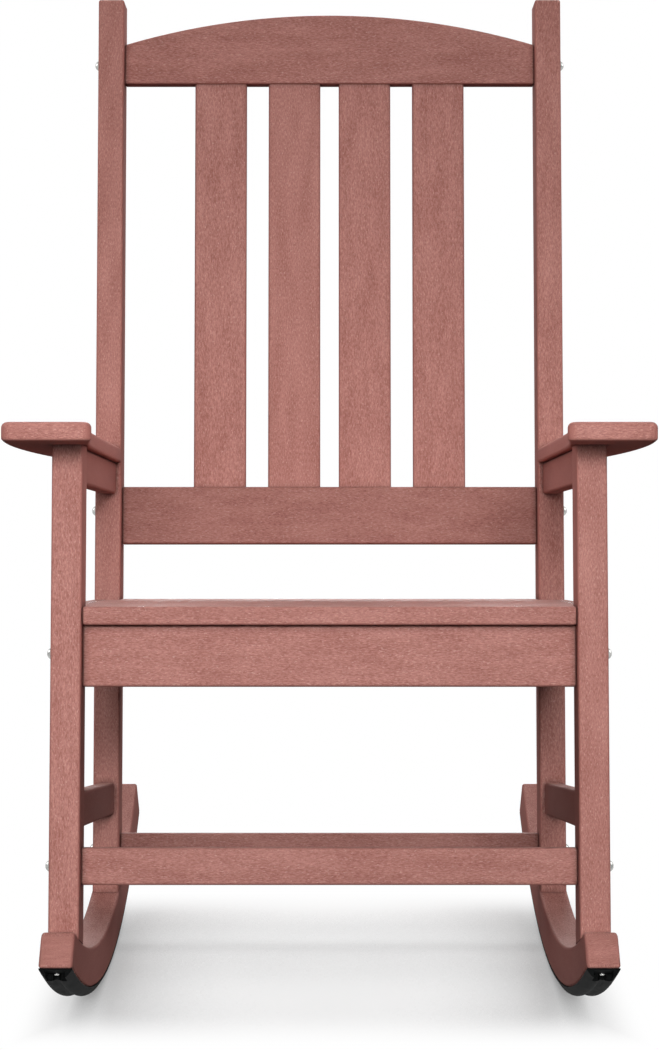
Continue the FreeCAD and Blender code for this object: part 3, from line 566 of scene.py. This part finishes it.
@dataclass(frozen=True)
class Lamp:
    """A square soft box, placed by its bearing from the point that it is turned to.

    Bearings are in degrees: azimuth from straight in front of the chair towards +X, elevation
    above the floor. The level is the brightness of a white card at that point that faces the
    lamp, and the spread is the whole angle of its beam.
    """

    name: str
    azimuth: float
    elevation: float
    distance: float
    size: float
    level: float
    spread: float = 180.0
    aim: tuple[float, float, float] = (0.0, 0.0, 0.6)


@dataclass
class Studio:
    """Pale floor, soft lights and the photograph's camera.

    The camera is set out in the level pose and then turned back with the chair about the
    rockers' centre, so that the chair looks the same to it. Of the floor's two colours, one is
    what the camera sees, and the other is for the light that the floor gives back. The glow is
    its strength with the sky hidden and with the sky open; its drop where the sky is hidden is a
    painted shadow. A shadow's pair is how far from its middle it begins to fade and where it
    ends. A world light of 1 would be as bright as white.
    """

    image_px: tuple[float, float] = (659.0, 1050.0)
    centre_px: tuple[float, float] = (329.5, 547.0)
    focal_px: float = 2424.0
    sensor_mm: float = 36.0
    distance_mm: float = 2741.0
    height_mm: float = 491.0
    nearest_m: float = 0.05
    rocker_centre_mm: tuple[float, float] = (27.8, 990.5)
    floor_m: float = 14.0
    floor_seen: str = "#a2a2a2"
    floor_dark: str = "#1a1a1a"
    floor_glow_and_painted_shadow: tuple[float, float] = (0.04, 0.78)
    shade_reach_m: float = 0.42
    shade_rays: int = 8
    shadow_wide_m: tuple[float, float] = (0.265, 0.34)
    shadow_long_m: tuple[float, float] = (0.2, 0.33)
    world_seen: str = "#ffffff"
    world_light: float = 0.04
    lamps: tuple[Lamp, ...] = (
        Lamp("key", 10.0, 20.0, 4.0, 0.9, 0.54, 46.0, (-0.12, -0.1, 0.5)),
        Lamp("fill", -11.0, 17.0, 4.0, 1.4, 0.4, 46.0, (0.0, -0.1, 0.42)),
        Lamp("low", 0.0, 15.0, 3.6, 1.0, 0.3, 60.0, (-0.1, -0.2, 0.3)),
        Lamp("overhead", 0.0, 84.0, 2.6, 1.6, 0.1),
        Lamp("back_light", 180.0, 56.0, 3.2, 0.5, 0.14),
        Lamp("side_left", -100.0, 24.0, 3.4, 1.4, 0.4, 60.0),
        Lamp("side_right", 100.0, 24.0, 3.4, 1.4, 0.4, 60.0),
        Lamp("rear", 180.0, 18.0, 3.6, 1.6, 0.55, 60.0),
    )

    def camera(self) -> bpy.types.Object:
        """Makes the camera that sees the chair as the photograph does.

        Returns:
            The camera.
        """
        width, height = self.image_px
        data = bpy.data.cameras.new("photo_camera")
        data.sensor_fit = "VERTICAL"
        data.sensor_height = self.sensor_mm
        data.lens = self.focal_px / height * self.sensor_mm
        data.shift_x = (width / 2 - self.centre_px[0]) / height
        data.shift_y = (self.centre_px[1] - height / 2) / height
        data.clip_start = self.nearest_m
        turn = math.radians(REST_TURN)
        back = Vector((0.0, math.cos(turn), -math.sin(turn)))
        up = Vector((0.0, math.sin(turn), math.cos(turn)))
        centre = Vector((0.0, *self.rocker_centre_mm)) * MM
        rise = self.height_mm - self.rocker_centre_mm[1]
        camera = bpy.data.objects.new("photo_camera", data)
        camera.location = centre - back * self.distance_mm * MM + up * rise * MM
        camera.rotation_euler = (math.radians(90.0 - REST_TURN), 0.0, 0.0)
        bpy.context.scene.collection.objects.link(camera)
        bpy.context.scene.camera = camera
        return camera

    @staticmethod
    def looked_at(tree: bpy.types.NodeTree) -> bpy.types.Node:
        """Adds nodes that give 1 to the camera and in reflections, and 0 to all other light.

        Args:
            tree: Node tree of the floor or the world.

        Returns:
            The node whose Value says so.
        """
        path = add_node(tree, "ShaderNodeLightPath")
        direct = add_node(tree, "ShaderNodeMath", {
            0: path.outputs["Is Camera Ray"], 1: path.outputs["Is Glossy Ray"]},
            operation="MAXIMUM")
        return add_node(tree, "ShaderNodeMath", {
            0: direct.outputs["Value"], 1: path.outputs["Is Transmission Ray"]},
            operation="MAXIMUM")

    def past_shadow(self, tree: bpy.types.NodeTree) -> bpy.types.Node:
        """Adds nodes that tell where the floor lies past the chair's shadow.

        The shadow lies within the rockers, and about the line where they touch the floor.

        Args:
            tree: Node tree of the floor.

        Returns:
            The node whose Value is 0 within the shadow's reach and goes over to 1 past it.
        """
        place = add_node(tree, "ShaderNodeTexCoord")
        spot = add_node(tree, "ShaderNodeSeparateXYZ", {"Vector": place.outputs["Object"]})
        ends = []
        for axis, middle, reach in (("X", 0.0, self.shadow_wide_m),
                                    ("Y", self.rocker_centre_mm[0] * MM, self.shadow_long_m)):
            offset = add_node(tree, "ShaderNodeMath", {0: spot.outputs[axis], 1: middle},
                              operation="SUBTRACT")
            away = add_node(tree, "ShaderNodeMath", {0: offset.outputs["Value"]},
                            operation="ABSOLUTE")
            ends.append(add_node(tree, "ShaderNodeMapRange", {
                "Value": away.outputs["Value"], "From Min": reach[0], "From Max": reach[1]},
                interpolation_type="SMOOTHSTEP").outputs["Result"])
        return add_node(tree, "ShaderNodeMath", dict(enumerate(ends)), operation="MAXIMUM")

    def floor_material(self) -> bpy.types.Material:
        """Makes a white floor that keeps the chair's shadow and gives little light back.

        To the camera and in reflections it is a matt floor that also glows, less where the chair
        hides the sky from it, so that the glow paints a soft shadow under the chair, and it goes
        over to plain white past the shadow. To all other light it is a dark matt floor.

        Returns:
            The material.
        """
        material, tree = new_material("studio_floor")
        shown = self.looked_at(tree)
        past = self.past_shadow(tree)
        matt = add_node(tree, "ShaderNodeBsdfDiffuse", {"Color": linear(self.floor_seen)})
        # Painted shadow: the glow drops where the chair hides the sky from the floor.
        open_sky = add_node(tree, "ShaderNodeAmbientOcclusion", {
            "Distance": self.shade_reach_m}, samples=self.shade_rays)
        level = add_node(tree, "ShaderNodeMapRange", {
            "Value": open_sky.outputs["AO"], "To Min": self.floor_glow_and_painted_shadow[0],
            "To Max": self.floor_glow_and_painted_shadow[1]})
        glow = add_node(tree, "ShaderNodeEmission", {"Strength": level.outputs["Result"]})
        lit = add_node(tree, "ShaderNodeAddShader", {
            0: matt.outputs["BSDF"], 1: glow.outputs["Emission"]})
        white = add_node(tree, "ShaderNodeEmission", {"Strength": 1.0})
        seen = add_node(tree, "ShaderNodeMixShader", {
            "Fac": past.outputs["Value"], 1: lit.outputs["Shader"],
            2: white.outputs["Emission"]})
        dark = add_node(tree, "ShaderNodeBsdfDiffuse", {"Color": linear(self.floor_dark)})
        both = add_node(tree, "ShaderNodeMixShader", {
            "Fac": shown.outputs["Value"], 1: dark.outputs["BSDF"],
            2: seen.outputs["Shader"]})
        add_node(tree, "ShaderNodeOutputMaterial", {"Surface": both.outputs["Shader"]})
        return material

    def floor(self) -> bpy.types.Object:
        """Lays the floor, one square with the chair on its middle.

        Returns:
            The floor.
        """
        half = self.floor_m / 2
        mesh = bpy.data.meshes.new("studio_floor")
        mesh.from_pydata([(-half, -half, 0.0), (half, -half, 0.0), (half, half, 0.0),
                          (-half, half, 0.0)], [], [(0, 1, 2, 3)])
        mesh.materials.append(self.floor_material())
        floor = bpy.data.objects.new("studio_floor", mesh)
        bpy.context.scene.collection.objects.link(floor)
        return floor

    def lights(self) -> None:
        """Hangs the lamps, each turned to its aim.

        A small Lambertian lamp of power P at distance D lights a facing card to P / (pi D)^2,
        and a grid that narrows its beam to a half angle h divides the power by 1 - h / tan h.
        """
        for lamp in self.lamps:
            half = math.radians(lamp.spread) / 2
            data = bpy.data.lights.new(lamp.name, "AREA")
            data.shape = "SQUARE"
            data.size = lamp.size
            data.energy = (lamp.level * (math.pi * lamp.distance) ** 2
                           * (1 - half / math.tan(half)))
            data.spread = 2 * half
            turn, rise = math.radians(lamp.azimuth), math.radians(lamp.elevation)
            bearing = Vector((math.sin(turn) * math.cos(rise), -math.cos(turn) * math.cos(rise),
                              math.sin(rise)))
            hung = bpy.data.objects.new(lamp.name, data)
            hung.location = Vector(lamp.aim) + bearing * lamp.distance
            hung.rotation_euler = (-bearing).to_track_quat("-Z", "Y").to_euler()
            hung.visible_camera = False
            bpy.context.scene.collection.objects.link(hung)

    def world(self) -> None:
        """Makes a world that looks white and lights softly."""
        world = bpy.data.worlds.new("studio")
        world.use_nodes = True
        tree = world.node_tree
        tree.nodes.clear()
        shown = self.looked_at(tree)
        strength = add_node(tree, "ShaderNodeMapRange", {
            "Value": shown.outputs["Value"], "To Min": self.world_light, "To Max": 1.0})
        white = add_node(tree, "ShaderNodeBackground", {
            "Color": linear(self.world_seen), "Strength": strength.outputs["Result"]})
        add_node(tree, "ShaderNodeOutputWorld", {"Surface": white.outputs["Background"]})
        bpy.context.scene.world = world

    def build(self) -> None:
        """Sets up the whole studio."""
        self.camera()
        self.floor()
        self.lights()
        self.world()
        bpy.context.scene.view_settings.view_transform = "Standard"


def main() -> None:
    """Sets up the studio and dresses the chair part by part."""
    logging.basicConfig(level=logging.INFO, format="%(message)s")
    shop = Workshop(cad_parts)
    Studio().build()
    for assembly in (SideFrames(shop), Rockers(shop), CrossRails(shop), Slats(shop)):
        assembly.build()
    bare = sorted(set(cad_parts) - set(shop.dressed))
    if bare:
        raise RuntimeError("nodes without a finish: %s" % ", ".join(bare))


if __name__ == "__main__":
    main()
